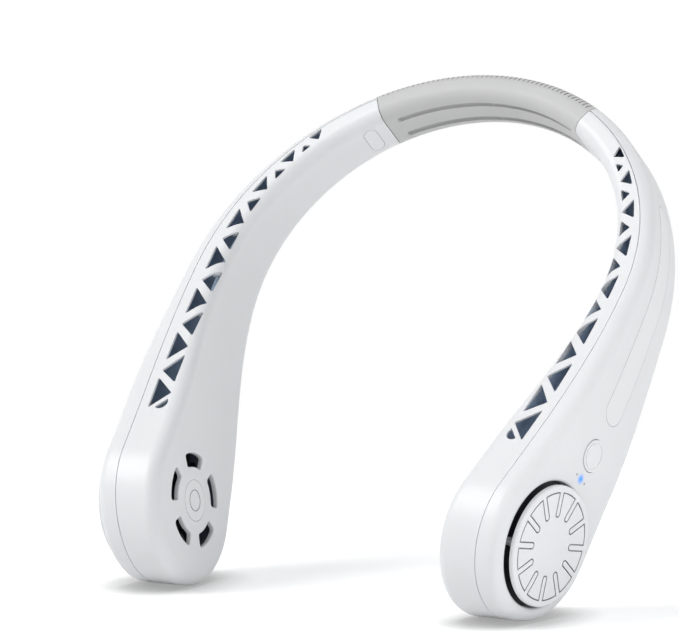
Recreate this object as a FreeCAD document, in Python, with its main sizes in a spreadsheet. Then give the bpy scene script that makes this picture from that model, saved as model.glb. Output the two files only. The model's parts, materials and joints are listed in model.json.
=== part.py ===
import FreeCAD, Part
import functools
import math
import os

import Sketcher
from FreeCAD import Matrix, Placement, Rotation, Vector

# Driving dimensions in millimetres and degrees; heights run up the arms from the middle of the round ends
SIZES = {
    # Horseshoe
    "arch_radius": 95,
    "apex_height": 186,
    "bulb_radius": 29,
    "bulb_thickness": 25,
    "arm_thickness": 16.5,
    "band_thickness": 11.2,
    "band_half_width": 10.2,
    "taper_end_rise": 4,
    "outer_flat_height": 30,
    "inner_flat_height": 18,
    "face_tilt": 9.5,
    "lean_angle": 38.5,
    "edge_radius": 4.6,
    "flank_share": 0.56,
    "bend_share": 0.33,
    # Walls, clearances and cuts
    "wall": 1.8,
    "fit": 0.15,
    "running_gap": 0.05,
    "overrun": 4,
    # Parting line of the two shells, as depths below the outer face
    "bulb_parting_depth": 8.4,
    "arm_parting_depth": 5.5,
    "band_parting_depth": 2.7,
    "parting_groove_width": 0.3,
    "parting_groove_depth": 0.8,
    # Soft band and what runs inside it
    "seam_angle": 29.5,
    "seam_gap": 0.3,
    "sleeve_wall": 2.4,
    "sleeve_groove_offset": 4.4,
    "sleeve_groove_radius": 1.1,
    "sleeve_groove_stop_angle": 2.2,
    "rib_count": 46,
    "rib_width": 0.5,
    "rib_depth": 0.25,
    "rib_reach": 3,
    "rib_stop_angle": 1.5,
    "core_thickness": 0.8,
    "core_width": 8,
    "core_reach_angle": 2,
    "cable_radius": 0.9,
    "plug_reach_angle": 7,
    "plug_root_angle": 2.4,
    # Vents along the front wall, the row's near edge as depths below the outer face
    "bulb_vent_depth": 12.1,
    "arm_vent_depth": 9.8,
    "band_vent_depth": 1.5,
    "vent_count": 15,
    "vent_start": 32.2,
    "vent_first_height": 7.6,
    "vent_last_height": 3.8,
    "turned_first_height": 7.5,
    "turned_last_height": 2.3,
    "vent_first_pitch": 11.2,
    "vent_last_pitch": 5.8,
    "vent_crowding": 1.35,
    "vent_corner_radius": 0.4,
    "vent_wall": 0.9,
    "vent_wall_margin": 1,
    "vent_first_base_share": 1.3,
    "vent_last_base_share": 1.1,
    "turned_first_base_share": 1.25,
    "turned_last_base_share": 0.7,
    "vent_apex_share": -0.04,
    "end_hole_radius": 2.7,
    "end_hole_gap": 1.6,
    # Intake on the outer face
    "intake_hole_radius": 22.6,
    "intake_rim_radius": 1,
    "intake_rib_wall": 1.6,
    "disc_gap": 0.9,
    "disc_thickness": 1.8,
    "disc_rise": 3,
    "disc_edge_radius": 0.8,
    "post_count": 3,
    "post_radius": 1.5,
    "post_circle_radius": 16.5,
    "finger_count": 12,
    "finger_outer_radius": 19.2,
    "finger_inner_radius": 10.5,
    "finger_width": 2.2,
    "engraving_width": 0.5,
    "engraving_depth": 0.8,
    "ring_depth": 4.1,
    "ring_thickness": 1.2,
    "ring_bore_radius": 12.5,
    # Intake slots and hub cap on the neck side
    "slot_count": 5,
    "slot_inner_radius": 12.2,
    "slot_outer_radius": 17.2,
    "slot_span_angle": 45,
    "slot_turn_angle": 44,
    "slot_corner_radius": 1.2,
    "slot_edge_radius": 0.6,
    "hub_cap_radius": 7.4,
    "cap_ring_radius": 3.8,
    "cap_ring_width": 0.4,
    "cap_ring_depth": 0.3,
    # Motor and impeller
    "motor_radius": 6.4,
    "motor_web_gap": 1.2,
    "flange_radius": 9.5,
    "flange_thickness": 1.2,
    "shaft_radius": 1,
    "impeller_radius": 19,
    "blade_count": 24,
    "blade_root_radius": 11.5,
    "blade_half_height": 6.3,
    "blade_thickness": 0.8,
    "blade_sweep_angle": 18,
    "web_thickness": 1.2,
    "hub_radius": 9,
    "hub_wall": 1.4,
    "hub_depth": 5.5,
    "boss_radius": 2.4,
    "boss_height": 2.4,
    # Air guide
    "scroll_radius": 24.4,
    "scroll_start_angle": -70,
    "scroll_end_angle": 140,
    "guide_wall": 1,
    "duct_depth": 8,
    "duct_wall": 0.8,
    "duct_front_gap": 0.5,
    "duct_bottom_height": 17,
    "duct_end_angle": 39.5,
    # Battery
    "battery_length": 48,
    "battery_width": 13,
    "battery_thickness": 10.5,
    "battery_edge_radius": 2,
    "battery_gap": 0.3,
    # Screw near the band and its cover
    "screw_angle": 34.5,
    "screw_radius": 1,
    "screw_head_radius": 1.9,
    "screw_head_height": 1.4,
    "screw_hole_gap": 0.2,
    "screw_boss_radius": 3,
    "screw_boss_length": 4.5,
    "cover_length": 11.5,
    "cover_width": 5,
    "cover_depth": 1,
    # Long inlay on the outer face
    "inlay_bottom_height": 48,
    "inlay_top_height": 138,
    "inlay_bottom_radius": 5.4,
    "inlay_top_radius": 3.6,
    "inlay_depth": 0.9,
    # Controls on the right arm
    "button_height": 36.8,
    "button_radius": 5.8,
    "button_gap": 0.25,
    "button_rise": 0.3,
    "button_flange": 0.9,
    "button_flange_thickness": 0.8,
    "button_stem_radius": 1.2,
    "button_travel": 0.6,
    "button_ring_radius": 4.7,
    "button_ring_width": 0.4,
    "button_ring_depth": 0.3,
    "light_height": 27.2,
    "light_pitch": 3.2,
    "light_hole_radius": 0.5,
    "light_pin_radius": 0.4,
    "light_bar_length": 9.4,
    "light_bar_width": 2.2,
    "light_bar_thickness": 1,
    "board_depth": 8.3,
    "board_thickness": 1.2,
    "board_width": 18,
    "board_start": 25,
    "board_length": 24,
    "board_tab_width": 13,
    "stake_inset": 3.5,
    "stake_post_radius": 1.8,
    "stake_pin_radius": 0.9,
    "stake_pin_rise": 0.6,
    "switch_size": 6,
    "switch_body_height": 3,
    "plunger_radius": 1.6,
    "plunger_height": 0.8,
    "socket_height_up_arm": 36,
    "socket_length": 7.3,
    "socket_width": 9,
    "socket_thickness": 3.2,
    "socket_wall": 0.4,
    "socket_recess": 0.6,
}

FULL_TURN = 360

doc = FreeCAD.newDocument("neck_fan")
sheet = doc.addObject("Spreadsheet::Sheet", "sizes")
for row, (alias, value) in enumerate(SIZES.items(), start=1):
    sheet.set("A%d" % row, alias)
    sheet.set("B%d" % row, str(value))
    sheet.setAlias("B%d" % row, alias)
doc.recompute()


class Sizes:
    """Reads a driving dimension from its cell by its alias."""

    def __getattr__(self, alias):
        return float(sheet.get(alias))


dim = Sizes()
TILT = math.radians(dim.face_tilt)
ARCH_CENTRE = Vector(0, 0, dim.apex_height - dim.arch_radius)
REACH = dim.bulb_radius + dim.overrun
PARTING = (dim.bulb_parting_depth, dim.arm_parting_depth, dim.band_parting_depth)
THICKNESS = (dim.bulb_thickness, dim.arm_thickness, dim.band_thickness)
VENT_ROW = (dim.bulb_vent_depth, dim.arm_vent_depth, dim.band_vent_depth)


# Frames

def frame_from(x_axis, y_axis, z_axis, base):
    """Placement whose axes and origin are given."""
    return Placement(Matrix(x_axis.x, y_axis.x, z_axis.x, base.x,
                            x_axis.y, y_axis.y, z_axis.y, base.y,
                            x_axis.z, y_axis.z, z_axis.z, base.z))


def lean_back():
    """Turns the upright horseshoe to its worn pose, with the neck rest at the origin."""
    turn = Rotation(Vector(1, 0, 0), -dim.lean_angle)
    neck_rest = Vector(0, 0, dim.apex_height - dim.band_thickness)
    return Placement(-turn.multVec(neck_rest), turn)


def face_x(depth):
    """Distance from the middle plane to a bulb face that lies this deep below the outer one."""
    lean_in = dim.flank_share * ARCH_CENTRE.z * math.tan(TILT)
    return dim.arch_radius - lean_in - depth / math.cos(TILT)


def bulb_frame():
    """Frame in the middle of the bulb: X to the back, Y up the arm, Z out through the outer face."""
    up = Vector(math.sin(TILT), 0, math.cos(TILT))
    out = Vector(math.cos(TILT), 0, -math.sin(TILT))
    return frame_from(Vector(0, 1, 0), up, out, Vector(face_x(dim.bulb_thickness / 2), 0, 0))


def radial_frame(degrees):
    """Frame on the arch centre: Y to the back, Z out along the ray at this angle from the apex."""
    angle = math.radians(degrees)
    along = Vector(math.cos(angle), 0, -math.sin(angle))
    out = Vector(math.sin(angle), 0, math.cos(angle))
    return frame_from(along, Vector(0, 1, 0), out, ARCH_CENTRE)


def arch_frame(degrees):
    """Frame on the arch centre with Z to the back and X along the ray at this angle from the apex."""
    angle = math.radians(degrees)
    start = Vector(math.sin(angle), 0, math.cos(angle))
    across = Vector(math.cos(angle), 0, -math.sin(angle))
    return frame_from(start, across, Vector(0, 1, 0), ARCH_CENTRE)


LEAN = lean_back()
BULB = bulb_frame()


def moved(shape, place):
    """Copy of a shape carried into another frame."""
    return shape.transformed(place.toMatrix(), True)


# Curves and solids of the horseshoe

def point(x, z):
    return Vector(x, 0, z)


def line(start, end):
    return Part.LineSegment(start, end).toShape()


def arc(start, middle, end):
    return Part.Arc(start, middle, end).toShape()


def front_curve(depths, flat_height, bottom):
    """Edges from the bulb up to the apex of a curve that lies this deep at bulb, arm and band."""
    bulb_depth, arm_depth, band_depth = depths
    radius = dim.arch_radius - arm_depth
    centre = dim.apex_height - band_depth - radius
    foot = face_x(bulb_depth)
    slope = math.tan(TILT)
    low = point(foot + bottom * slope, bottom)
    bend = point(foot + flat_height * slope, flat_height)
    spring = point(radius, centre)
    run = dim.bend_share * (centre - flat_height)
    flank = Part.BezierCurve()
    upward = Vector(math.sin(TILT), 0, math.cos(TILT))
    flank.setPoles([bend, bend + upward * run, spring - point(0, run), spring])
    halfway = radius * math.sqrt(0.5)
    top = arc(spring, point(halfway, centre + halfway), point(0, centre + radius))
    return [line(low, bend), flank.toShape(), top]


def outer_curve(depths, bottom=-REACH):
    return front_curve(depths, dim.outer_flat_height, bottom)


def inner_curve(depths, bottom=-REACH):
    return front_curve(depths, dim.inner_flat_height, bottom)


def slab(near, far):
    """Solid between two front curves, through the whole depth of the fan."""
    ends = [line(near[0].Vertexes[0].Point, far[0].Vertexes[0].Point),
            line(near[-1].Vertexes[-1].Point, far[-1].Vertexes[-1].Point)]
    face = Part.Face(Part.Wire(Part.__sortEdges__(near + far + ends)))
    face.translate(Vector(0, -REACH, 0))
    return face.extrude(Vector(0, REACH + REACH, 0))


def deeper(depths, inset):
    return tuple(depth + inset for depth in depths)


def taper():
    """Radius and centre of the hollow arc that leads from the bulb to the band in side view."""
    low, high = dim.bulb_radius, dim.band_half_width
    height = dim.apex_height + dim.taper_end_rise
    radius = (high ** 2 + height ** 2 - low ** 2) / (2 * (low - high))
    return radius, Vector(0, high + radius, height)


def side_half_width(height, inset):
    """Half width of the side outline at a height above the bulb's middle."""
    radius, centre = taper()
    return centre.y - math.sqrt((radius + inset) ** 2 - (centre.z - height) ** 2)


def side_prism(inset):
    """Side outline of the arms, a round end that tapers up to the band, as a solid along X."""
    radius, centre = taper()
    radius = radius + inset
    end = dim.bulb_radius - inset
    joint = centre * (end / centre.Length)
    bend = math.atan2(joint.z - centre.z, joint.y - centre.y)
    half_bend = (bend - math.pi) / 2
    middle = centre + Vector(0, radius * math.cos(half_bend), radius * math.sin(half_bend))
    top = centre - Vector(0, radius, 0)

    def flipped(place):
        return Vector(place.x, -place.y, place.z)

    edges = [arc(joint, Vector(0, 0, -end), flipped(joint)), arc(joint, middle, top),
             arc(flipped(joint), flipped(middle), flipped(top)), line(top, flipped(top))]
    face = Part.Face(Part.Wire(Part.__sortEdges__(edges)))
    return face.extrude(Vector(dim.arch_radius + dim.overrun, 0, 0))


def runs_along(edge, axis):
    """Whether an edge is straight along the axis."""
    ends = edge.Vertexes[-1].Point - edge.Vertexes[0].Point
    return abs(ends.Length - edge.Length) < dim.fit and abs(abs(ends.dot(axis)) - edge.Length) < dim.fit


def in_middle_plane(edge):
    return abs(edge.BoundBox.XMax) < dim.fit


@functools.lru_cache(maxsize=None)
def half_horseshoe(inset):
    """Right half of the horseshoe with its edges rounded, set in from the skin all round."""
    near = outer_curve(deeper((0, 0, 0), inset))
    far = inner_curve(deeper(THICKNESS, -inset))
    body = slab(near, far).common(side_prism(inset)).Solids[0]
    rims = [edge for edge in body.Edges
            if not in_middle_plane(edge)
            and not runs_along(edge, Vector(1, 0, 0))
            and not runs_along(edge, Vector(0, 1, 0))]
    return body.makeFillet(dim.edge_radius - inset, rims).Solids[0]


def seam_block(degrees, offset, to_band):
    """Large block on one side of the radial plane at this angle, set off from that plane."""
    span = dim.apex_height + dim.arch_radius
    start = -span - offset if to_band else offset
    block = Part.makeBox(span, span + span, span + span, Vector(start, -span, -span))
    return moved(block, radial_frame(degrees))


def span_block(first_degrees, last_degrees):
    """Large wedge between two radial planes."""
    return seam_block(first_degrees, 0, False).common(seam_block(last_degrees, 0, True))


SKIN = half_horseshoe(0)
CAVITY = half_horseshoe(dim.wall)
LINING = half_horseshoe(dim.wall + dim.fit)
ARM_SIDE = seam_block(dim.seam_angle, dim.seam_gap / 2, False)
BAND_SIDE = seam_block(dim.seam_angle, dim.seam_gap / 2, True)
PARTING_CURVE = outer_curve(PARTING)
OUTER_ZONE = slab(outer_curve(deeper((0, 0, 0), -dim.overrun)), PARTING_CURVE)
INNER_ZONE = slab(outer_curve(PARTING), inner_curve(deeper(THICKNESS, dim.overrun)))

subparts = []


def keep(item, label, place=None):
    """Gives an object its label and place and lists it as a sub-part."""
    item.Label = label
    if place is not None:
        item.Placement = place
    subparts.append(item)
    return item


def solid_part(label, shape, listed=True):
    """Sub-part whose shape is worked out here, modelled upright and leaned back by its placement."""
    item = doc.addObject("Part::Feature", label)
    item.Shape = shape
    item.Placement = LEAN
    if listed:
        keep(item, label)
    return item


def mirrored_part(label, source):
    """Left-hand copy of a right-hand sub-part."""
    item = doc.addObject("Part::Mirroring", label)
    item.Source = source
    item.Normal = Vector(1, 0, 0)
    return keep(item, label)


def bound(kind, name, **expressions):
    """Document object whose properties follow the sheet."""
    item = doc.addObject(kind, name)
    for prop, expression in expressions.items():
        item.setExpression(prop.replace("__", "."), expression)
    return item


# Sketches whose corners and circles follow the sheet

def sketch_on(body, name, role):
    sketch = body.newObject("Sketcher::SketchObject", name)
    origin_plane = next(item for item in body.Origin.OriginFeatures if item.Role == role)
    sketch.AttachmentSupport = [(origin_plane, "")]
    sketch.MapMode = "FlatFace"
    return sketch


def bind_place(sketch, index, position, across, up):
    """Ties one point of a sketch to two expressions."""
    for kind, axis, expression in (("DistanceX", -2, across), ("DistanceY", -1, up)):
        if expression == "0":
            sketch.addConstraint(Sketcher.Constraint("PointOnObject", index, position, axis))
            continue
        value = float(sketch.evalExpression(expression))
        number = sketch.addConstraint(Sketcher.Constraint(kind, -1, 1, index, position, value))
        sketch.setExpression("Constraints[%d]" % number, expression)


def sketch_outline(sketch, corners):
    """Closed outline through corners given as pairs of expressions."""
    places = [Vector(float(sketch.evalExpression(across)), float(sketch.evalExpression(up)), 0)
              for across, up in corners]
    first = sketch.GeometryCount
    count = len(places)
    for number in range(count):
        sketch.addGeometry(Part.LineSegment(places[number], places[(number + 1) % count]))
    for number in range(count):
        following = first + (number + 1) % count
        sketch.addConstraint(Sketcher.Constraint("Coincident", first + number, 2, following, 1))
    for number, (across, up) in enumerate(corners):
        bind_place(sketch, first + number, 1, across, up)


def sketch_circle(sketch, across, up, radius):
    """Circle whose centre and radius are given as expressions."""
    centre = Vector(float(sketch.evalExpression(across)), float(sketch.evalExpression(up)), 0)
    size = float(sketch.evalExpression(radius))
    index = sketch.addGeometry(Part.Circle(centre, Vector(0, 0, 1), size))
    number = sketch.addConstraint(Sketcher.Constraint("Radius", index, size))
    sketch.setExpression("Constraints[%d]" % number, radius)
    if across == "0" and up == "0":
        sketch.addConstraint(Sketcher.Constraint("Coincident", index, 3, -1, 1))
    else:
        bind_place(sketch, index, 3, across, up)


def turned_body(name, corners):
    """Body turned about its Z axis from a profile of radii and heights."""
    body = doc.addObject("PartDesign::Body", name)
    profile = sketch_on(body, name + "_profile", "XZ_Plane")
    sketch_outline(profile, corners)
    turn = body.newObject("PartDesign::Revolution", name + "_turn")
    turn.Profile = profile
    turn.ReferenceAxis = (profile, ["V_Axis"])
    turn.Angle = FULL_TURN
    doc.recompute()
    return body, turn


def padded(body, name, sketch, length):
    pad = body.newObject("PartDesign::Pad", name)
    pad.Profile = sketch
    pad.setExpression("Length", length)
    return pad


def repeated(body, name, feature, axis_sketch, count):
    """Copies of a feature round the body's Z axis."""
    pattern = body.newObject("PartDesign::PolarPattern", name)
    pattern.Originals = [feature]
    pattern.Axis = (axis_sketch, ["N_Axis"])
    pattern.Angle = FULL_TURN
    pattern.setExpression("Occurrences", count)
    body.Tip = pattern
    doc.recompute()
    return pattern


# Vents

def along(edges, distance):
    """Place, upward direction and inward direction at a distance along a row of edges."""
    for edge in edges:
        if distance <= edge.Length:
            break
        distance = distance - edge.Length
    parameter = edge.getParameterByLength(distance)
    up = edge.tangentAt(parameter)
    return edge.valueAt(parameter), up, Vector(-up.z, 0, up.x)


def front_prism(edges, height):
    """Cutting solid that enters the front wall and stops just behind it."""
    face = Part.Face(Part.Wire(edges))
    face.translate(Vector(0, -REACH, 0))
    stop = dim.wall + dim.overrun - side_half_width(height, 0)
    return face.extrude(Vector(0, REACH + stop, 0))


def between(first, last, progress):
    """Value that runs evenly from the first to the last."""
    return first + (last - first) * progress


def vent_tools():
    """Triangles that stand on the outer and on the inner side of the row by turns, and a round end hole."""
    route = outer_curve(VENT_ROW, 0)
    count = int(dim.vent_count)
    steps = count - 1
    tools = []
    station = dim.vent_start
    for number in range(count):
        progress = number / steps
        pitch = between(dim.vent_first_pitch, dim.vent_last_pitch, progress ** dim.vent_crowding)
        row = between(dim.vent_first_height, dim.vent_last_height, progress)
        base = pitch * between(dim.vent_first_base_share, dim.vent_last_base_share, progress)
        foot, apex = 0, row
        if number % 2:
            base = pitch * between(dim.turned_first_base_share, dim.turned_last_base_share, progress)
            foot, apex = row, row - between(dim.turned_first_height, dim.turned_last_height, progress)
        place, up, inward = along(route, station)
        corners = [place + up * (-base / 2) + inward * foot,
                   place + up * (base / 2) + inward * foot,
                   place + up * (base * dim.vent_apex_share) + inward * apex]
        if number == 0:
            first_vent = corners
        prism = front_prism(Part.makePolygon(corners + corners[:1]).Edges, place.z)
        corner_edges = [edge for edge in prism.Edges if runs_along(edge, Vector(0, 1, 0))]
        tools.append(prism.makeFillet(dim.vent_corner_radius, corner_edges))
        station = station + pitch
    lower, upper, apex = first_vent
    slant = (apex - lower).normalize() * dim.end_hole_radius
    away = Vector(slant.z, 0, -slant.x)
    if away.dot(upper - lower) > 0:
        away = -away
    centre = (lower + apex) / 2 + away * (dim.end_hole_gap / dim.end_hole_radius)
    end_arc = arc(centre + slant, centre + away, centre - slant)
    tools.append(front_prism([end_arc, line(centre - slant, centre + slant)], centre.z))
    return tools


def vent_recess():
    """Recess along the inside of the front wall that leaves it thin round the vents."""
    near_side = outer_curve(deeper(VENT_ROW, -dim.vent_wall_margin))
    far_side = inner_curve(deeper(THICKNESS, -dim.wall - dim.fit))
    row = slab(near_side, far_side)
    low = dim.vent_start - dim.vent_first_pitch
    front = Part.makeBox(dim.arch_radius, REACH, dim.apex_height, Vector(0, -REACH, low))
    recess = half_horseshoe(dim.vent_wall).cut(side_prism(dim.wall + dim.fit))
    return recess.common(row).common(front).common(seam_block(dim.duct_end_angle, 0, False))


# Shells

def bulb_cylinder(radius, low, high, x=0, y=0):
    """Cylinder along the bulb's axis between two heights of the bulb frame."""
    return moved(Part.makeCylinder(radius, high - low, Vector(x, y, low)), BULB)


FACE_OUT = dim.bulb_thickness / 2
WALL_IN = FACE_OUT - dim.wall
RING_TOP = FACE_OUT - dim.ring_depth
RIB_RADIUS = dim.intake_hole_radius + dim.intake_rib_wall
BOARD_TOP = FACE_OUT - dim.board_depth
BUTTON_UP = dim.button_height / math.cos(TILT)
LIGHT_UP = dim.light_height / math.cos(TILT)


def shell_zone(zone):
    """Part of the hollow arm on one side of the parting line, with half of the fine groove along it."""
    groove = slab(outer_curve(deeper(PARTING, -dim.parting_groove_width / 2)),
                  outer_curve(deeper(PARTING, dim.parting_groove_width / 2)))
    groove = groove.cut(half_horseshoe(dim.parting_groove_depth))
    return SKIN.cut(CAVITY).common(ARM_SIDE).common(zone).cut(groove).Solids[0]


def inlay_prism(gap):
    """Long stadium that narrows upward, through the arm along X."""
    low_radius, high_radius = dim.inlay_bottom_radius + gap, dim.inlay_top_radius + gap
    low = dim.inlay_bottom_height + dim.inlay_bottom_radius
    high = dim.inlay_top_height - dim.inlay_top_radius
    edges = [arc(Vector(0, low_radius, low), Vector(0, 0, low - low_radius), Vector(0, -low_radius, low)),
             line(Vector(0, -low_radius, low), Vector(0, -high_radius, high)),
             arc(Vector(0, -high_radius, high), Vector(0, 0, high + high_radius),
                 Vector(0, high_radius, high)),
             line(Vector(0, high_radius, high), Vector(0, low_radius, low))]
    return Part.Face(Part.Wire(edges)).extrude(Vector(dim.arch_radius + dim.overrun, 0, 0))


def cover_prism(gap):
    """Stadium across the arm near the band, along the ray at the screw."""
    half = dim.cover_width / 2 + gap
    run = (dim.cover_length - dim.cover_width) / 2
    start = dim.arch_radius - dim.band_thickness - dim.overrun
    edges = [arc(Vector(half, run, start), Vector(0, run + half, start), Vector(-half, run, start)),
             line(Vector(-half, run, start), Vector(-half, -run, start)),
             arc(Vector(-half, -run, start), Vector(0, -run - half, start), Vector(half, -run, start)),
             line(Vector(half, -run, start), Vector(half, run, start))]
    prism = Part.Face(Part.Wire(edges)).extrude(Vector(0, 0, dim.arch_radius - start))
    return moved(prism, radial_frame(dim.screw_angle))


def inner_face_radius(degrees):
    """Distance from the arch centre to the neck-side face along a ray."""
    angle = math.radians(degrees)
    radius = dim.arch_radius - dim.arm_thickness
    rise = dim.arm_thickness - dim.band_thickness
    return rise * math.cos(angle) + math.sqrt(radius ** 2 - (rise * math.sin(angle)) ** 2)


NECK_FACE = inner_face_radius(dim.screw_angle)
SCREW_HEAD_LOW = NECK_FACE + dim.cover_depth + dim.fit
SCREW_HEAD_HIGH = SCREW_HEAD_LOW + dim.screw_head_height
BOSS_SPLIT = NECK_FACE + dim.wall + dim.screw_boss_length
SCREW_TIP = dim.arch_radius - dim.wall - dim.fit


def ray_cylinder(radius, low, high):
    """Cylinder along the screw's ray between two distances from the arch centre."""
    return moved(Part.makeCylinder(radius, high - low, Vector(0, 0, low)), radial_frame(dim.screw_angle))


def outer_shell(with_controls):
    """Outer cover: intake hole with its rib, screw boss, inlay pocket and, on one arm, the controls."""
    shell = shell_zone(OUTER_ZONE)
    additions = [bulb_cylinder(RIB_RADIUS, RING_TOP, WALL_IN + dim.fit),
                 ray_cylinder(dim.screw_boss_radius, BOSS_SPLIT + dim.fit, SCREW_TIP + dim.wall)]
    cuts = [bulb_cylinder(dim.intake_hole_radius, RING_TOP - dim.overrun, FACE_OUT + dim.overrun),
            ray_cylinder(dim.screw_radius, BOSS_SPLIT - dim.overrun, SCREW_TIP),
            inlay_prism(dim.fit).common(OUTER_ZONE).cut(half_horseshoe(dim.inlay_depth))]
    if with_controls:
        stake_up = dim.board_start + dim.board_length - dim.stake_inset
        stake_side = dim.board_width / 2 - dim.stake_inset
        stake_low = BOARD_TOP - dim.board_thickness - dim.stake_pin_rise
        for side in (-stake_side, stake_side):
            additions.append(bulb_cylinder(dim.stake_post_radius, BOARD_TOP, WALL_IN + dim.fit,
                                           side, stake_up))
            additions.append(bulb_cylinder(dim.stake_pin_radius, stake_low, BOARD_TOP, side, stake_up))
        hole = dim.button_radius + dim.button_gap
        seat = hole + dim.button_flange
        cuts.append(bulb_cylinder(hole, WALL_IN - dim.overrun, FACE_OUT + dim.overrun, 0, BUTTON_UP))
        cuts.append(bulb_cylinder(seat, WALL_IN - dim.overrun, WALL_IN, 0, BUTTON_UP))
        for step in (-1, 0, 1):
            cuts.append(bulb_cylinder(dim.light_hole_radius, WALL_IN - dim.overrun, FACE_OUT + dim.overrun,
                                      step * dim.light_pitch, LIGHT_UP))
    shell = shell.fuse(additions).removeSplitter()
    for tool in cuts:
        shell = shell.cut(tool)
    shell = shell.Solids[0]
    rim = [edge for edge in shell.Edges
           if edge.Curve.TypeId == "Part::GeomCircle"
           and abs(edge.Curve.Radius - dim.intake_hole_radius) < dim.fit
           and abs(BULB.inverse().multVec(edge.CenterOfMass).z - FACE_OUT) < dim.fit]
    return shell.makeFillet(dim.intake_rim_radius, rim).Solids[0]


def slot_tools():
    """Arc-shaped intake slots round the hub."""
    tools = []
    depth = dim.wall + dim.overrun + dim.overrun
    low = -FACE_OUT - dim.overrun
    half_span = dim.slot_span_angle / 2
    for number in range(int(dim.slot_count)):
        turn = dim.slot_turn_angle + number * FULL_TURN / dim.slot_count - half_span
        ring = Part.makeCylinder(dim.slot_outer_radius, depth, Vector(0, 0, low), Vector(0, 0, 1),
                                 dim.slot_span_angle)
        ring = ring.cut(Part.makeCylinder(dim.slot_inner_radius, depth, Vector(0, 0, low)))
        corners = [edge for edge in ring.Edges if runs_along(edge, Vector(0, 0, 1))]
        ring = ring.makeFillet(dim.slot_corner_radius, corners)
        ring.rotate(Vector(0, 0, 0), Vector(0, 0, 1), turn)
        tools.append(moved(ring, BULB))
    return tools


def with_round_slots(shell):
    """Shell with the rims of its intake slots rounded on the neck side."""
    into_bulb = BULB.inverse()
    nearest, farthest = dim.slot_inner_radius - dim.fit, dim.slot_outer_radius + dim.fit

    def on_rim(edge):
        places = [into_bulb.multVec(vertex.Point) for vertex in edge.Vertexes]
        flat = all(abs(place.z + FACE_OUT) < dim.running_gap for place in places)
        return flat and all(nearest < math.hypot(place.x, place.y) < farthest for place in places)

    rims = [edge for edge in shell.Edges if on_rim(edge)]
    return shell.makeFillet(dim.slot_edge_radius, rims).Solids[0]


def socket_mouth():
    """How far back the charging socket's mouth lies in the bulb frame."""
    return side_half_width(dim.socket_height_up_arm, 0) - dim.socket_recess


def socket_block(grow, start, end):
    """Round-ended bar of the charging socket's section, along the bulb frame's X axis."""
    half = dim.socket_thickness / 2 + grow
    run = (dim.socket_width - dim.socket_thickness) / 2
    up = dim.socket_height_up_arm / math.cos(TILT)
    level = BOARD_TOP - dim.board_thickness - dim.socket_thickness / 2
    edges = [arc(Vector(start, up + run, level + half), Vector(start, up + run + half, level),
                 Vector(start, up + run, level - half)),
             line(Vector(start, up + run, level - half), Vector(start, up - run, level - half)),
             arc(Vector(start, up - run, level - half), Vector(start, up - run - half, level),
                 Vector(start, up - run, level + half)),
             line(Vector(start, up - run, level + half), Vector(start, up + run, level + half))]
    return moved(Part.Face(Part.Wire(edges)).extrude(Vector(end - start, 0, 0)), BULB)


def inner_shell(with_socket):
    """Neck-side tub: vented front wall, intake slots, hub hole, screw boss and cover pocket."""
    shell = shell_zone(INNER_ZONE)
    shell = shell.fuse(ray_cylinder(dim.screw_boss_radius, NECK_FACE + dim.cover_depth, BOSS_SPLIT))
    shell = shell.removeSplitter()
    hub_hole = dim.hub_cap_radius + dim.fit
    cuts = slot_tools() + vent_tools() + [vent_recess()]
    cuts.append(bulb_cylinder(hub_hole, -FACE_OUT - dim.overrun, -WALL_IN + dim.overrun))
    cuts.append(cover_prism(dim.fit).common(INNER_ZONE).cut(half_horseshoe(dim.cover_depth)))
    head_hole = dim.screw_head_radius + dim.screw_hole_gap
    shank_hole = dim.screw_radius + dim.screw_hole_gap
    cuts.append(ray_cylinder(head_hole, NECK_FACE - dim.overrun, SCREW_HEAD_HIGH))
    cuts.append(ray_cylinder(shank_hole, SCREW_HEAD_HIGH, BOSS_SPLIT + dim.overrun))
    if with_socket:
        mouth = socket_mouth()
        cuts.append(socket_block(dim.fit, mouth - dim.wall - dim.overrun, mouth + dim.wall + dim.overrun))
    for tool in cuts:
        shell = shell.cut(tool)
    return with_round_slots(shell.Solids[0])


# Air guide

def air_guide(with_board):
    """Scroll round the impeller, and a channel behind the vents whose back follows the front wall."""
    low = -FACE_OUT - dim.overrun
    high = FACE_OUT + dim.overrun
    round_way = bulb_cylinder(dim.scroll_radius, low, high)
    sweep = dim.scroll_end_angle - dim.scroll_start_angle
    scroll = Part.makeCylinder(dim.scroll_radius + dim.guide_wall, high - low, Vector(0, 0, low),
                               Vector(0, 0, 1), sweep)
    scroll.rotate(Vector(0, 0, 0), Vector(0, 0, 1), dim.scroll_start_angle)
    scroll = moved(scroll, BULB).cut(round_way)
    hollow = dim.wall + dim.fit + dim.duct_wall
    airway = slab(outer_curve(deeper((0, 0, 0), hollow)), inner_curve(deeper(THICKNESS, -hollow)))
    airway = airway.cut(side_prism(dim.duct_depth))
    airway = airway.common(seam_block(dim.duct_end_angle, dim.guide_wall, False))
    front = Part.makeBox(dim.arch_radius, REACH, dim.apex_height, Vector(0, -REACH, dim.duct_bottom_height))
    channel = side_prism(dim.wall + dim.duct_front_gap).cut(side_prism(dim.duct_depth + dim.guide_wall))
    channel = channel.common(front).common(seam_block(dim.duct_end_angle, 0, False)).cut(airway)
    guide = channel.cut(round_way).fuse(scroll).common(LINING).removeSplitter()
    ring_low = RING_TOP - dim.ring_thickness - dim.fit
    guide = guide.cut(bulb_cylinder(RIB_RADIUS + dim.fit, ring_low, FACE_OUT + dim.overrun))
    if with_board:
        guide = guide.cut(board_clearance())
    return max(guide.Solids, key=lambda solid: solid.Volume)


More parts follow.
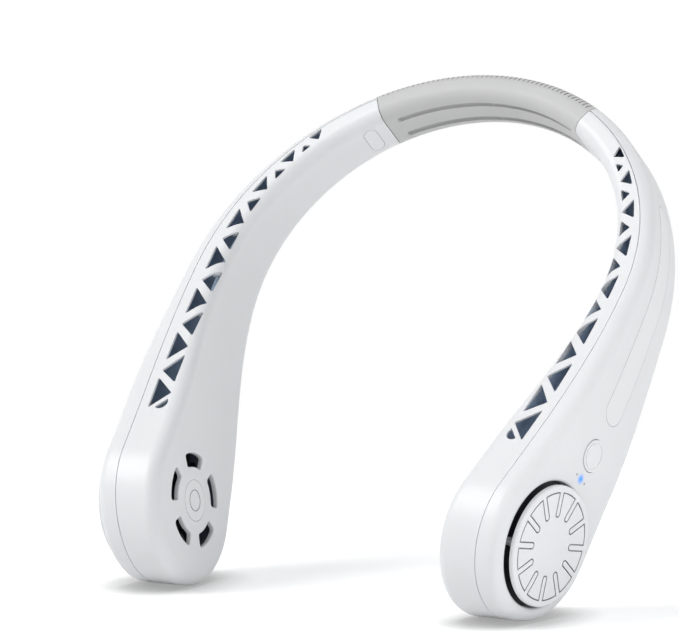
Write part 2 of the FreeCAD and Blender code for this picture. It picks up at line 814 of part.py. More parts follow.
def board_clearance():
    """Space over the board, up to the outer shell, that the guide leaves free."""
    low = BOARD_TOP - dim.board_thickness - dim.stake_pin_rise - dim.fit
    side = dim.board_width / 2 + dim.fit
    block = Part.makeBox(side + REACH, dim.board_length + dim.fit + dim.fit, FACE_OUT - low,
                         Vector(-side, dim.board_start - dim.fit, low))
    return moved(block, BULB)


# Soft band

def rib_tools():
    """Fine cuts across the outside of the sleeve's right half, carried round its edges."""
    layer = SKIN.common(BAND_SIDE).cut(half_horseshoe(dim.rib_depth))
    layer = layer.common(slab(outer_curve(deeper((0, 0, 0), -dim.overrun)),
                              outer_curve(deeper((0, 0, 0), dim.rib_reach))))
    step = 2 * (dim.seam_angle - dim.rib_stop_angle) / (dim.rib_count - 1)
    tools = []
    for number in range(int(dim.rib_count) // 2):
        low = dim.arch_radius - dim.band_thickness
        blade = Part.makeBox(dim.rib_width, REACH + REACH, dim.band_thickness + dim.overrun,
                             Vector(-dim.rib_width / 2, -REACH, low))
        tools.append(layer.common(moved(blade, radial_frame((number + 0.5) * step))))
    return tools


def sleeve():
    """Soft tube over the arms' plugs, with two grooves on the neck side and fine ribs outside."""
    half = SKIN.common(BAND_SIDE).cut(half_horseshoe(dim.sleeve_wall)).cut(rib_tools())
    body = half.fuse(half.mirror(Vector(0, 0, 0), Vector(1, 0, 0))).removeSplitter()
    reach = dim.seam_angle - dim.sleeve_groove_stop_angle
    neck_radius = dim.arch_radius - dim.arm_thickness
    neck_centre = dim.apex_height - dim.band_thickness - neck_radius
    for side in (-dim.sleeve_groove_offset, dim.sleeve_groove_offset):
        centre = Vector(0, side, neck_centre)
        groove = Part.makeTorus(neck_radius, dim.sleeve_groove_radius, Vector(0, 0, 0), Vector(0, 0, 1),
                                -FULL_TURN / 2, FULL_TURN / 2, reach + reach)
        turned = arch_frame(-reach)
        groove = moved(groove, Placement(centre, turned.Rotation))
        body = body.cut(groove)
        for end in (-reach, reach):
            angle = math.radians(end)
            tip = centre + Vector(math.sin(angle), 0, math.cos(angle)) * neck_radius
            body = body.cut(Part.makeSphere(dim.sleeve_groove_radius, tip))
    return body.Solids[0]


def end_plug():
    """Stub that closes the arm's end and reaches into the sleeve, slotted for the strip and the lead."""
    root_end = dim.seam_angle + dim.plug_root_angle
    tongue = half_horseshoe(dim.sleeve_wall + dim.fit)
    tongue = tongue.common(span_block(dim.seam_angle - dim.plug_reach_angle, root_end))
    root = LINING.common(span_block(dim.seam_angle, root_end))
    root = root.common(seam_block(dim.seam_angle, dim.seam_gap / 2, False))
    plug = tongue.fuse(root).removeSplitter()
    strip_radius = dim.arch_radius - dim.band_thickness / 2
    grown = dim.core_thickness / 2 + dim.fit
    width = dim.core_width + dim.fit + dim.fit
    reach = dim.seam_angle + dim.core_reach_angle
    sweep = reach + dim.fit
    slot = Part.makeCylinder(strip_radius + grown, width, Vector(0, 0, -width / 2), Vector(0, 0, 1), sweep)
    slot = slot.cut(Part.makeCylinder(strip_radius - grown, width, Vector(0, 0, -width / 2)))
    plug = plug.cut(moved(slot, arch_frame(0)))
    lead_radius = strip_radius + dim.core_thickness / 2 + dim.fit + dim.cable_radius
    hole = Part.makeTorus(lead_radius, dim.cable_radius + dim.fit, Vector(0, 0, 0), Vector(0, 0, 1),
                          -FULL_TURN / 2, FULL_TURN / 2, sweep)
    return plug.cut(moved(hole, arch_frame(0))).Solids[0]


def make_band():
    solid_part("band_sleeve", sleeve())
    reach = "(sizes.seam_angle + sizes.core_reach_angle)"
    strip = "sizes.arch_radius - sizes.band_thickness / 2"
    outside = bound("Part::Cylinder", "core_outside", Radius=strip + " + sizes.core_thickness / 2",
                    Height="sizes.core_width", Angle=reach + " * 2")
    inside = bound("Part::Cylinder", "core_inside", Radius=strip + " - sizes.core_thickness / 2",
                   Height="sizes.core_width", Angle=reach + " * 2")
    core = doc.addObject("Part::Cut", "band_core")
    core.Base = outside
    core.Tool = inside
    start = arch_frame(-dim.seam_angle - dim.core_reach_angle)
    middle = Placement(Vector(0, 0, -dim.core_width / 2), Rotation())
    keep(core, "band_core", LEAN.multiply(start).multiply(middle))
    lead = bound("Part::Torus", "band_lead", Angle3=reach + " * 2", Radius2="sizes.cable_radius",
                 Radius1=strip + " + sizes.core_thickness / 2 + sizes.fit + sizes.cable_radius")
    keep(lead, "band_lead", LEAN.multiply(start))


# Pieces of the bulb, modelled in its frame

IN_BULB = LEAN.multiply(BULB)
WALL_LOW = "(sizes.wall - sizes.bulb_thickness / 2)"
WALL_HIGH = "(sizes.bulb_thickness / 2 - sizes.wall)"
FACE_HIGH = "sizes.bulb_thickness / 2"
RING_HIGH = "(sizes.bulb_thickness / 2 - sizes.ring_depth)"


def engraving():
    """Fine closed line of fingers that point inward from a circle, as a shallow ring-like solid."""
    outer, inner, half = dim.finger_outer_radius, dim.finger_inner_radius, dim.finger_width / 2
    count = int(dim.finger_count)
    side_angle = math.asin(half / outer)
    step = 2 * math.pi / count

    def on_circle(angle):
        return Vector(outer * math.cos(angle), outer * math.sin(angle), 0)

    edges = []
    for number in range(count):
        angle = number * step
        out = Vector(math.cos(angle), math.sin(angle), 0)
        aside = Vector(-out.y, out.x, 0) * half
        root = out * (inner + half)
        edges.append(line(on_circle(angle - side_angle), root - aside))
        edges.append(arc(root - aside, out * inner, root + aside))
        edges.append(line(root + aside, on_circle(angle + side_angle)))
        edges.append(arc(on_circle(angle + side_angle), on_circle(angle + step / 2),
                         on_circle(angle + step - side_angle)))
    outline = Part.Wire(edges)
    grow = dim.engraving_width / 2
    band = Part.Face(outline.makeOffset2D(grow)).cut(Part.Face(outline.makeOffset2D(-grow)))
    band.translate(Vector(0, 0, FACE_OUT + dim.disc_rise - dim.engraving_depth))
    return band.extrude(Vector(0, 0, dim.engraving_depth + dim.overrun))


def make_intake_disc():
    radius = "sizes.intake_hole_radius - sizes.disc_gap"
    top = FACE_HIGH + " + sizes.disc_rise"
    bottom = top + " - sizes.disc_thickness"
    body, turn = turned_body("disc_blank", [("0", bottom), (radius, bottom), (radius, top), ("0", top)])
    foot = sketch_on(body, "disc_post", "XY_Plane")
    foot.setExpression("AttachmentOffset.Base.z", RING_HIGH)
    sketch_circle(foot, "0", "sizes.post_circle_radius", "sizes.post_radius")
    post = padded(body, "disc_post_pad", foot, bottom + " - " + RING_HIGH)
    posts = repeated(body, "disc_posts", post, foot, "sizes.post_count")
    rounding = body.newObject("PartDesign::Fillet", "disc_rim")
    level = FACE_OUT + dim.disc_rise
    width = dim.intake_hole_radius - dim.disc_gap
    rims = ["Edge%d" % number for number, edge in enumerate(posts.Shape.Edges, start=1)
            if abs(edge.BoundBox.ZMin - level) < dim.running_gap
            and abs(edge.BoundBox.XMax - width) < dim.fit]
    rounding.Base = (posts, rims)
    rounding.setExpression("Radius", "sizes.disc_edge_radius")
    body.Tip = rounding
    doc.recompute()
    lines = doc.addObject("Part::Feature", "disc_engraving")
    lines.Shape = engraving()
    disc = doc.addObject("Part::Cut", "right_intake_disc")
    disc.Base = body
    disc.Tool = lines
    return keep(disc, "right_intake_disc", IN_BULB)


def make_intake_ring():
    outside = bound("Part::Cylinder", "ring_outside", Height="sizes.ring_thickness",
                    Radius="sizes.intake_hole_radius + sizes.intake_rib_wall")
    bore = bound("Part::Cylinder", "ring_bore", Height="sizes.ring_thickness",
                 Radius="sizes.ring_bore_radius")
    ring = doc.addObject("Part::Cut", "right_intake_ring")
    ring.Base = outside
    ring.Tool = bore
    drop = Placement(Vector(0, 0, RING_TOP - dim.ring_thickness), Rotation())
    return keep(ring, "right_intake_ring", IN_BULB.multiply(drop))


def make_hub_cap():
    outside = "-" + FACE_HIGH
    floor = outside + " + sizes.cap_ring_depth"
    near = "sizes.cap_ring_radius - sizes.cap_ring_width / 2"
    far = "sizes.cap_ring_radius + sizes.cap_ring_width / 2"
    body, turn = turned_body("right_hub_cap", [
        ("0", outside), (near, outside), (near, floor), (far, floor), (far, outside),
        ("sizes.hub_cap_radius", outside), ("sizes.hub_cap_radius", WALL_LOW), ("0", WALL_LOW)])
    return keep(body, "right_hub_cap", IN_BULB)


def make_motor():
    flange_top = WALL_LOW + " + sizes.flange_thickness"
    top = "-sizes.motor_web_gap"
    bore = "sizes.shaft_radius + sizes.running_gap"
    body, turn = turned_body("right_motor", [
        ("0", WALL_LOW), ("sizes.flange_radius", WALL_LOW), ("sizes.flange_radius", flange_top),
        ("sizes.motor_radius", flange_top), ("sizes.motor_radius", top), (bore, top), (bore, flange_top),
        ("0", flange_top)])
    return keep(body, "right_motor", IN_BULB)


def make_shaft():
    shaft = bound("Part::Cylinder", "right_shaft", Radius="sizes.shaft_radius",
                  Height="sizes.web_thickness + sizes.boss_height + sizes.bulb_thickness / 2 - sizes.wall"
                         " - sizes.flange_thickness - sizes.running_gap")
    foot = Placement(Vector(0, 0, dim.flange_thickness + dim.running_gap - WALL_IN), Rotation())
    return keep(shaft, "right_shaft", IN_BULB.multiply(foot))


def make_impeller():
    skirt = "sizes.hub_radius - sizes.hub_wall"
    rise = "sizes.web_thickness + sizes.boss_height"
    root = "sizes.blade_root_radius"
    body, turn = turned_body("right_impeller", [
        ("sizes.shaft_radius", "0"), (skirt, "0"), (skirt, "-sizes.hub_depth"),
        ("sizes.hub_radius", "-sizes.hub_depth"), ("sizes.hub_radius", "0"),
        ("sizes.impeller_radius", "0"), ("sizes.impeller_radius", "sizes.web_thickness"),
        ("sizes.boss_radius", "sizes.web_thickness"), ("sizes.boss_radius", rise),
        ("sizes.shaft_radius", rise)])
    blade = sketch_on(body, "blade_outline", "XY_Plane")
    sweep = "sizes.blade_sweep_angle * 1deg"
    tip_x = "sizes.impeller_radius * cos(%s)" % sweep
    tip_y = "sizes.impeller_radius * sin(%s)" % sweep
    half = "sizes.blade_thickness / 2"
    sketch_outline(blade, [(root, "-" + half), (tip_x, tip_y + " - " + half), (tip_x, tip_y + " + " + half),
                           (root, half)])
    pad = padded(body, "blade_pad", blade, "sizes.blade_half_height * 2")
    pad.SideType = "Symmetric"
    doc.recompute()
    repeated(body, "blade_row", pad, blade, "sizes.blade_count")
    return keep(body, "right_impeller", IN_BULB)


# Pieces of the arm

def curve_x(edges, height):
    """Distance from the middle plane at which a front curve passes a height."""
    level = line(point(0, height), point(dim.arch_radius + dim.overrun, height))
    crossings = Part.Wire(Part.__sortEdges__(edges)).distToShape(level)[1]
    return crossings[0][0].x


def make_battery():
    """Flat cell behind the air channel, turned to follow the arm."""
    low = dim.board_start + dim.board_length + dim.battery_gap
    high = low + dim.battery_length
    middles = [(curve_x(outer_curve((0, 0, 0)), height) + curve_x(inner_curve(THICKNESS), height)) / 2
               for height in (low, high)]
    lean = math.degrees(math.atan2(middles[1] - middles[0], dim.battery_length))
    front = dim.battery_gap - side_half_width(high, dim.duct_depth + dim.guide_wall)
    cell = bound("Part::Box", "cell_block", Length="sizes.battery_thickness", Width="sizes.battery_width",
                 Height="sizes.battery_length")
    doc.recompute()
    battery = doc.addObject("Part::Fillet", "right_battery")
    battery.Base = cell
    radius = dim.battery_edge_radius
    upright = [number for number, edge in enumerate(cell.Shape.Edges, start=1)
               if runs_along(edge, Vector(0, 0, 1))]
    battery.Edges = [(number, radius, radius) for number in upright]
    corner = Placement(Vector(-dim.battery_thickness / 2, 0, 0), Rotation())
    place = Placement(Vector(middles[0], front, low), Rotation(Vector(0, 1, 0), lean))
    return keep(battery, "right_battery", LEAN.multiply(place).multiply(corner))


def make_screw():
    """Pan screw between the shells, with its head under the cover."""
    head = bound("Part::Cylinder", "screw_head", Radius="sizes.screw_head_radius",
                 Height="sizes.screw_head_height")
    shank = bound("Part::Cylinder", "screw_shank", Radius="sizes.screw_radius")
    shank.Height = SCREW_TIP - SCREW_HEAD_LOW
    screw = doc.addObject("Part::Fuse", "right_screw")
    screw.Base = head
    screw.Tool = shank
    rise = Placement(Vector(0, 0, SCREW_HEAD_LOW), Rotation())
    return keep(screw, "right_screw", LEAN.multiply(radial_frame(dim.screw_angle)).multiply(rise))


def screw_cover():
    return cover_prism(0).common(SKIN).common(INNER_ZONE).cut(half_horseshoe(dim.cover_depth)).Solids[0]


def inlay():
    return inlay_prism(0).common(SKIN).common(OUTER_ZONE).cut(half_horseshoe(dim.inlay_depth)).Solids[0]


# Controls of the right arm

def make_button():
    top = FACE_HIGH + " + sizes.button_rise"
    floor = top + " - sizes.button_ring_depth"
    near = "sizes.button_ring_radius - sizes.button_ring_width / 2"
    far = "sizes.button_ring_radius + sizes.button_ring_width / 2"
    edge = "sizes.button_radius"
    flange = "sizes.button_radius + sizes.button_flange"
    flange_top = WALL_HIGH + " - sizes.fit"
    flange_low = flange_top + " - sizes.button_flange_thickness"
    stem = "sizes.button_stem_radius"
    stem_low = (FACE_HIGH + " - sizes.board_depth + sizes.switch_body_height + sizes.plunger_height"
                " + sizes.button_travel + sizes.fit")
    body, turn = turned_body("power_button", [
        ("0", stem_low), (stem, stem_low), (stem, flange_low), (flange, flange_low), (flange, flange_top),
        (edge, flange_top), (edge, top), (far, top), (far, floor), (near, floor), (near, top), ("0", top)])
    return keep(body, "power_button", IN_BULB.multiply(Placement(Vector(0, BUTTON_UP, 0), Rotation())))


def make_switch():
    block = bound("Part::Box", "switch_block", Length="sizes.switch_size", Width="sizes.switch_size",
                  Height="sizes.switch_body_height", Placement__Base__x="-sizes.switch_size / 2",
                  Placement__Base__y="-sizes.switch_size / 2")
    plunger = bound("Part::Cylinder", "switch_plunger", Radius="sizes.plunger_radius",
                    Height="sizes.switch_body_height + sizes.plunger_height")
    switch = doc.addObject("Part::Fuse", "button_switch")
    switch.Base = block
    switch.Tool = plunger
    keep(switch, "button_switch", IN_BULB.multiply(Placement(Vector(0, BUTTON_UP, BOARD_TOP), Rotation())))


def make_light_guide():
    bar_top = WALL_IN - dim.fit
    bar = bound("Part::Box", "light_bar", Length="sizes.light_bar_length", Width="sizes.light_bar_width",
                Height="sizes.light_bar_thickness", Placement__Base__x="-sizes.light_bar_length / 2",
                Placement__Base__y="-sizes.light_bar_width / 2")
    pins = []
    steps = ("-sizes.light_pitch", "0 * sizes.light_pitch", "sizes.light_pitch")
    for number, step in enumerate(steps, start=1):
        pins.append(bound("Part::Cylinder", "light_pin_%d" % number, Radius="sizes.light_pin_radius",
                          Height="sizes.light_bar_thickness + sizes.fit + sizes.wall",
                          Placement__Base__x=step))
    guide = doc.addObject("Part::MultiFuse", "light_guide")
    guide.Shapes = [bar] + pins
    place = Placement(Vector(0, LIGHT_UP, bar_top - dim.light_bar_thickness), Rotation())
    keep(guide, "light_guide", IN_BULB.multiply(place))


def make_board():
    """Circuit board under the controls, with a tab to the charging socket and two stake holes."""
    body = doc.addObject("PartDesign::Body", "main_board")
    outline = sketch_on(body, "board_outline", "XY_Plane")
    half = "sizes.board_width / 2"
    top = "sizes.board_start + sizes.board_length"
    tab_middle = "sizes.socket_height_up_arm"
    tab_low = tab_middle + " - sizes.board_tab_width / 2"
    tab_high = "(" + tab_middle + " + sizes.board_tab_width / 2)"
    radius = "(%s ^ 2 + %s ^ 2 - %s ^ 2) / (2 * (%s - %s))" % (
        "sizes.band_half_width", "(sizes.apex_height + sizes.taper_end_rise)", "sizes.bulb_radius",
        "sizes.bulb_radius", "sizes.band_half_width")
    drop = "(sizes.apex_height + sizes.taper_end_rise - %s)" % tab_high
    wall_back = "sizes.band_half_width + %s - sqrt((%s) ^ 2 - %s ^ 2)" % (radius, radius, drop)
    tab_end = wall_back + " - sizes.wall - sizes.edge_radius / 4"
    sketch_outline(outline, [("-" + half, "sizes.board_start"), (half, "sizes.board_start"),
                             (half, tab_low), (tab_end, tab_low), (tab_end, tab_high), (half, tab_high),
                             (half, top), ("-" + half, top)])
    stake_up = top + " - sizes.stake_inset"
    for side in ("-%s + sizes.stake_inset" % half, "%s - sizes.stake_inset" % half):
        sketch_circle(outline, side, stake_up, "sizes.stake_pin_radius + sizes.running_gap")
    padded(body, "board_pad", outline, "sizes.board_thickness")
    doc.recompute()
    place = Placement(Vector(0, 0, BOARD_TOP - dim.board_thickness), Rotation())
    keep(body, "main_board", IN_BULB.multiply(place))


def charging_socket():
    mouth = socket_mouth()
    start = mouth - dim.socket_length
    shell = socket_block(0, start, mouth)
    return shell.cut(socket_block(-dim.socket_wall, start + dim.socket_wall, mouth + dim.overrun)).Solids[0]


def make_pair(item):
    """Left-hand copy of a right-hand piece."""
    mirrored_part(item.Label.replace("right_", "left_"), item)


def make_arms():
    solid_part("right_outer_shell", outer_shell(True))
    solid_part("right_inner_shell", inner_shell(True))
    solid_part("right_air_guide", air_guide(True))
    mirrored_part("left_outer_shell", solid_part("plain_outer_shell", outer_shell(False), False))
    mirrored_part("left_inner_shell", solid_part("plain_inner_shell", inner_shell(False), False))
    mirrored_part("left_air_guide", solid_part("plain_air_guide", air_guide(False), False))
    make_pair(solid_part("right_end_plug", end_plug()))
    make_pair(solid_part("right_screw_cover", screw_cover()))
    make_pair(solid_part("right_inlay", inlay()))
    for make_piece in (make_intake_disc, make_intake_ring, make_hub_cap, make_motor, make_shaft,
                       make_impeller, make_battery, make_screw):
        make_pair(make_piece())


def make_controls():
    make_button()
    make_switch()
    make_light_guide()
    make_board()
    solid_part("charging_socket", charging_socket())


def write_parts():
    """Checks every object, then writes each sub-part to its own file."""
    doc.recompute()
    failed = [item.Name for item in doc.Objects if {"Invalid", "Error"} & set(item.State)]
    if failed:
        raise RuntimeError("failed objects: " + ", ".join(failed))
    for item in subparts:
        if item.Shape.isNull() or not item.Shape.isValid() or not item.Shape.Solids:
            raise RuntimeError("bad shape: " + item.Label)
    os.makedirs("parts", exist_ok=True)
    for item in subparts:
        item.Shape.exportStep(os.path.join("parts", item.Label + ".step"))
        print(item.Label, len(item.Shape.Solids), round(item.Shape.Volume))


make_band()
make_arms()
make_controls()
write_parts()
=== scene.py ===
import json
import math

import bpy
from bpy.props import FloatProperty, FloatVectorProperty, PointerProperty
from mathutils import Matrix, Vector

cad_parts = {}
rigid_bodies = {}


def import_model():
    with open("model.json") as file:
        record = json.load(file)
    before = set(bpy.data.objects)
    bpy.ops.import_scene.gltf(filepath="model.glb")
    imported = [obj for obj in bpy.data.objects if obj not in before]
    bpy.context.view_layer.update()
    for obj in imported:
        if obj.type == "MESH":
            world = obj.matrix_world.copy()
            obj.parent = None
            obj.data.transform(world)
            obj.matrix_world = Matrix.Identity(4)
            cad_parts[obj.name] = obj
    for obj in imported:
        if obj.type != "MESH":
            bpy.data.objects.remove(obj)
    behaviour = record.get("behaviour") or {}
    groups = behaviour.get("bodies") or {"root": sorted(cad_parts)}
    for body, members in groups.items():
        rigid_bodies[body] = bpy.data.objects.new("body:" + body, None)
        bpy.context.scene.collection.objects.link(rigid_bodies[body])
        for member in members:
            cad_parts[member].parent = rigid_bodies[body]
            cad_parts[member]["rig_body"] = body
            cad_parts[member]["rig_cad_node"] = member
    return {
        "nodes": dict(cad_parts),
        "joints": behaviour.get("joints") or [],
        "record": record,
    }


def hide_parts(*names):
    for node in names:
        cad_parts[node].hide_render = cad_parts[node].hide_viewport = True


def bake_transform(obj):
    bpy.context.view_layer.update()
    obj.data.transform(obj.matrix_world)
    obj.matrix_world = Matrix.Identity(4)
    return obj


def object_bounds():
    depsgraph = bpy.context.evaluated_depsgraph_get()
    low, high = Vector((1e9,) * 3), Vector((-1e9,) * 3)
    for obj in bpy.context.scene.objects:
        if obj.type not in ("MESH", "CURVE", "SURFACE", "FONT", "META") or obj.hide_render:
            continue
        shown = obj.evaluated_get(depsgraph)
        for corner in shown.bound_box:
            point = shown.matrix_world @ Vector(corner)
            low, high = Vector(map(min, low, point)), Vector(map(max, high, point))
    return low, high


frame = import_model()
CAD_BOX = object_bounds()

bl_info = {
    "name": "Neck Fan",
    "version": (1, 0, 0),
    "blender": (4, 5, 0),
    "location": "View3D > Sidebar > Neck Fan",
    "description": "Dresses a neck fan: moulded shells, soft band, air ducts, controls and a bright studio",
    "category": "Object",
}

SIDES = ("left", "right")
LAMPS = ("key", "fill", "rim")
BAND_NODES = ("band_sleeve", "band_core", "band_lead")

# Limits of the painted shade in gaps and grooves and of the painted shadow under the fan
# Share of open sky over a point that counts as deep in a hollow, and over one that counts as out of it
GAP_DEEP, GAP_SHALLOW = 0.4, 0.85
GROOVE_DEEP, GROOVE_SHALLOW = 0.45, 0.9
CONTACT_DEEP, CONTACT_SHALLOW = 0.4, 1.0
HOLLOW_SAMPLES = 8

# Turn of a face towards the neck between which the band's grooves get painted shade
NECK_TURN_START, NECK_TURN_END = -0.05, 0.35

# Sum of grain and flow at which a moulding is smoothest, and roughest
SMOOTH_SUM, ROUGH_SUM = 0.6, 1.4

# Depth within which a point belongs to the light pins' outer ends, in metres
PIN_END_DEPTH = 0.000025

# Width of the camera's sensor in millimetres, and how far it sees in metres
SENSOR_WIDTH = 36
CAMERA_REACH = 50

BLACK = (0, 0, 0, 1)
WHITE = (1, 1, 1, 1)


def colour_setting(name, description, default):
    return FloatVectorProperty(name=name, description=description, subtype="COLOR", size=3, min=0, max=1,
                               default=default)


def place_setting(name, description, default):
    return FloatVectorProperty(name=name, description=description, subtype="TRANSLATION", default=default)


def length_setting(name, description, default):
    return FloatProperty(name=name, description=description, subtype="DISTANCE", default=default)


def angle_setting(name, description, degrees):
    return FloatProperty(name=name, description=description, subtype="ANGLE", default=math.radians(degrees))


def power_setting(name, description, default):
    return FloatProperty(name=name, description=description, subtype="POWER", default=default)


def strength_setting(name, description, default):
    return FloatProperty(name=name, description=description, default=default)


class FinishSettings(bpy.types.PropertyGroup):
    """Colours of the pieces and of their painted shade, and the reach of that shade and of the light."""

    shell_white: colour_setting("Shell white", "Colour of the arms' shells", (0.80, 0.808, 0.82))
    shell_shade: colour_setting("Shell shade", "Faint darker drift in the shells' colour",
                                (0.77, 0.778, 0.79))
    trim_white: colour_setting("Trim white", "Colour of the discs, caps, covers, inlays and button",
                               (0.82, 0.827, 0.838))
    trim_shade: colour_setting("Trim shade", "Faint darker drift in the trim's colour", (0.79, 0.797, 0.81))
    # Painted shade laid deep in narrow gaps and engraved lines, where shade would fall, and how far it
    # reaches
    gap_painted_shade: colour_setting("Gap grey", "Colour deep in narrow gaps and engraved lines",
                             (0.33, 0.335, 0.345))
    gap_shade_reach: length_setting("Gap reach", "How near a wall has to be to shade a gap", 0.0008)
    silicone: colour_setting("Silicone", "Colour of the soft band", (0.575, 0.573, 0.570))
    silicone_shade: colour_setting("Silicone shade", "Darker drift in the soft band's colour",
                                   (0.535, 0.533, 0.530))
    # Painted shade laid deep in the soft band's grooves, and how far it reaches
    groove_painted_shade: colour_setting("Groove grey", "Colour deep in the soft band's grooves", (0.22, 0.22, 0.22))
    groove_shade_reach: length_setting("Groove reach", "How near a wall has to be to shade a groove", 0.0022)
    # The air guides are a real piece; their slate blue also stands in, as painted shade, for the shade seen
    # through the vents
    duct: colour_setting("Duct", "Slate blue of the air ducts behind the vents", (0.46, 0.56, 0.70))
    duct_shade: colour_setting("Duct shade", "Darker drift in the ducts' colour", (0.38, 0.47, 0.60))
    black: colour_setting("Black", "Colour of the impellers and intake rings", (0.012, 0.012, 0.014))
    black_shade: colour_setting("Black shade", "Greyer drift in the black mouldings", (0.03, 0.03, 0.033))
    steel: colour_setting("Steel", "Colour of the motors, shafts, screws, socket and strip",
                          (0.55, 0.56, 0.58))
    steel_shade: colour_setting("Steel shade", "Colour of the drawn steel's streaks", (0.42, 0.43, 0.45))
    strip_shade: colour_setting("Strip shade", "Colour of the spring strip's streaks", (0.45, 0.46, 0.48))
    foil: colour_setting("Foil", "Colour of the cells' wrap", (0.68, 0.69, 0.71))
    foil_shade: colour_setting("Foil shade", "Colour of the wrap's streaks", (0.55, 0.56, 0.58))
    board: colour_setting("Board", "Green of the circuit board", (0.01, 0.10, 0.04))
    board_shade: colour_setting("Board shade", "Lighter drift in the board's colour", (0.02, 0.16, 0.07))
    light: colour_setting("Light", "Colour of the lit pin", (0.025, 0.18, 0.62))
    clear_pin: colour_setting("Clear pin", "Colour of the pins that aren't lit", (0.42, 0.43, 0.45))
    pin_reach: length_setting("Pin reach", "How far from its outer end the lit pin glows", 0.0014)
    pin_strength: strength_setting("Pin strength", "Strength of the lit pin's glow", 1.6)
    halo_radius: length_setting("Halo radius", "How far the light shows through the plastic", 0.0025)
    halo_strength: strength_setting("Halo strength", "Strength of the light in the plastic", 1.0)


class BandSettings(bpy.types.PropertyGroup):
    """How the soft band is divided and where it bends."""

    cut_angle: angle_setting("Cut angle", "Angle between the cuts that let the band bend", 1.2)
    bend_start_angle: angle_setting("Bend start", "Angle from the apex where the bend begins", 2.5)
    bend_end_angle: angle_setting("Bend end", "Angle from the apex where the bend ends", 27)
    smooth_angle: angle_setting("Smooth angle", "Edges flatter than this are shaded smooth", 35)
    strip_rise: length_setting("Strip rise", "Height of the strip's middle above the neck rest", 0.0056)
    weld: length_setting("Weld", "Distance within which the copy's points are merged", 0.000002)


class StageSettings(bpy.types.PropertyGroup):
    """Camera, floor with its painted shadow, lamps and sky."""

    camera_azimuth: angle_setting("Azimuth", "Camera's turn to the right of straight ahead", 31.8)
    camera_elevation: angle_setting("Elevation", "Camera's height above the horizon", 6.6)
    camera_distance: length_setting("Distance", "Camera's distance from the fan", 2.337)
    camera_lens: FloatProperty(name="Lens", description="Focal length on a 36 mm sensor", unit="CAMERA",
                               default=344.6)
    middle: place_setting("Middle", "Place that the lamps face and the camera's distance is measured from",
                          (0.0, -0.0583, -0.0533))
    middle_right: length_setting("Middle right", "How far right of the picture's centre it lies", 0.0263)
    middle_up: length_setting("Middle up", "How far above the picture's centre it lies", 0.0167)
    floor_size: length_setting("Floor size", "Side of the square floor", 12.0)
    floor_white: colour_setting("Floor white", "Colour of the floor", (0.93, 0.93, 0.93))
    floor_glow: strength_setting("Floor glow", "White that the floor adds to what is seen of it", 0.34)
    # Painted shadow on the floor close under the fan, and how far it reaches
    contact_painted_shadow: colour_setting("Contact grey", "Colour of the floor close under the fan",
                                 (0.12, 0.12, 0.12))
    contact_shadow_reach: length_setting("Contact reach", "How near the fan has to be to darken the floor", 0.016)
    fade_start: length_setting("Fade start", "Distance from the fan where the floor begins to whiten", 0.16)
    fade_end: length_setting("Fade end", "Distance from the fan where the floor is plain white", 0.42)
    key_place: place_setting("Key place", "Place of the large lamp up left", (-1.5, -1.3, 1.7))
    key_size: length_setting("Key size", "Side of the large lamp", 1.3)
    key_power: power_setting("Key power", "Power of the large lamp", 44.0)
    fill_place: place_setting("Fill place", "Place of the small lamp on the right", (0.45, -0.22, 0.0))
    fill_size: length_setting("Fill size", "Side of the small lamp", 0.45)
    fill_power: power_setting("Fill power", "Power of the small lamp", 0.95)
    rim_place: place_setting("Rim place", "Place of the lamp behind", (0.3, 1.6, 1.5))
    rim_size: length_setting("Rim size", "Side of the lamp behind", 1.2)
    rim_power: power_setting("Rim power", "Power of the lamp behind", 6.0)
    sky_colour: colour_setting("Sky colour", "Colour of the even light all round", (0.96, 0.98, 1.0))
    sky_strength: strength_setting("Sky strength", "Strength of the even light all round", 0.38)


def settings():
    return bpy.context.scene.neck_fan_finish


def select_only(piece):
    bpy.ops.object.select_all(action="DESELECT")
    piece.select_set(True)
    bpy.context.view_layer.objects.active = piece


def both_sides(*names):
    return [side + "_" + name for name in names for side in SIDES]


def give(material, *nodes):
    """Puts a material on CAD nodes in place of their plain one."""
    for name in nodes:
        piece = frame["nodes"][name]
        piece.data.materials.clear()
        piece.data.materials.append(material)


# Nodes that the materials are made of

def socket_label(name):
    return name.replace("_", " ").title()


def add_node(tree, kind, **values):
    """Node with its options and its sockets set by name."""
    node = tree.nodes.new(kind)
    for name, value in values.items():
        if hasattr(node, name):
            setattr(node, name, value)
        else:
            node.inputs[socket_label(name)].default_value = value
    return node


def add_group(tree, group, **values):
    """Node that places a shader group, with its own values."""
    node = tree.nodes.new("ShaderNodeGroup")
    node.node_tree = group
    for name, value in values.items():
        node.inputs[socket_label(name)].default_value = value
    return node


def feed(tree, value, socket):
    """Links another socket in, or sets a plain value."""
    if isinstance(value, bpy.types.NodeSocket):
        tree.links.new(value, socket)
    else:
        socket.default_value = value


def product(tree, first, second):
    node = add_node(tree, "ShaderNodeMath", operation="MULTIPLY")
    feed(tree, first, node.inputs[0])
    feed(tree, second, node.inputs[1])
    return node.outputs["Value"]


def mixed(tree, mask, first, second):
    """Colour that turns from the first to the second as the mask goes from zero to one."""
    node = add_node(tree, "ShaderNodeMix", data_type="RGBA")
    tree.links.new(mask, node.inputs["Factor"])
    feed(tree, first, node.inputs["A"])
    feed(tree, second, node.inputs["B"])
    return node.outputs["Result"]


def add_near(tree, place, near, far):
    """Mask that falls from one to zero between two distances from a place."""
    spot = add_node(tree, "ShaderNodeTexCoord")
    apart = add_node(tree, "ShaderNodeVectorMath", operation="DISTANCE")
    fall = add_node(tree, "ShaderNodeMapRange", interpolation_type="SMOOTHSTEP", to_min=1.0, to_max=0.0)
    tree.links.new(spot.outputs["Object"], apart.inputs[0])
    tree.links.new(apart.outputs["Value"], fall.inputs["Value"])
    feed(tree, place, apart.inputs[1])
    feed(tree, near, fall.inputs["From Min"])
    feed(tree, far, fall.inputs["From Max"])
    return fall.outputs["Result"]


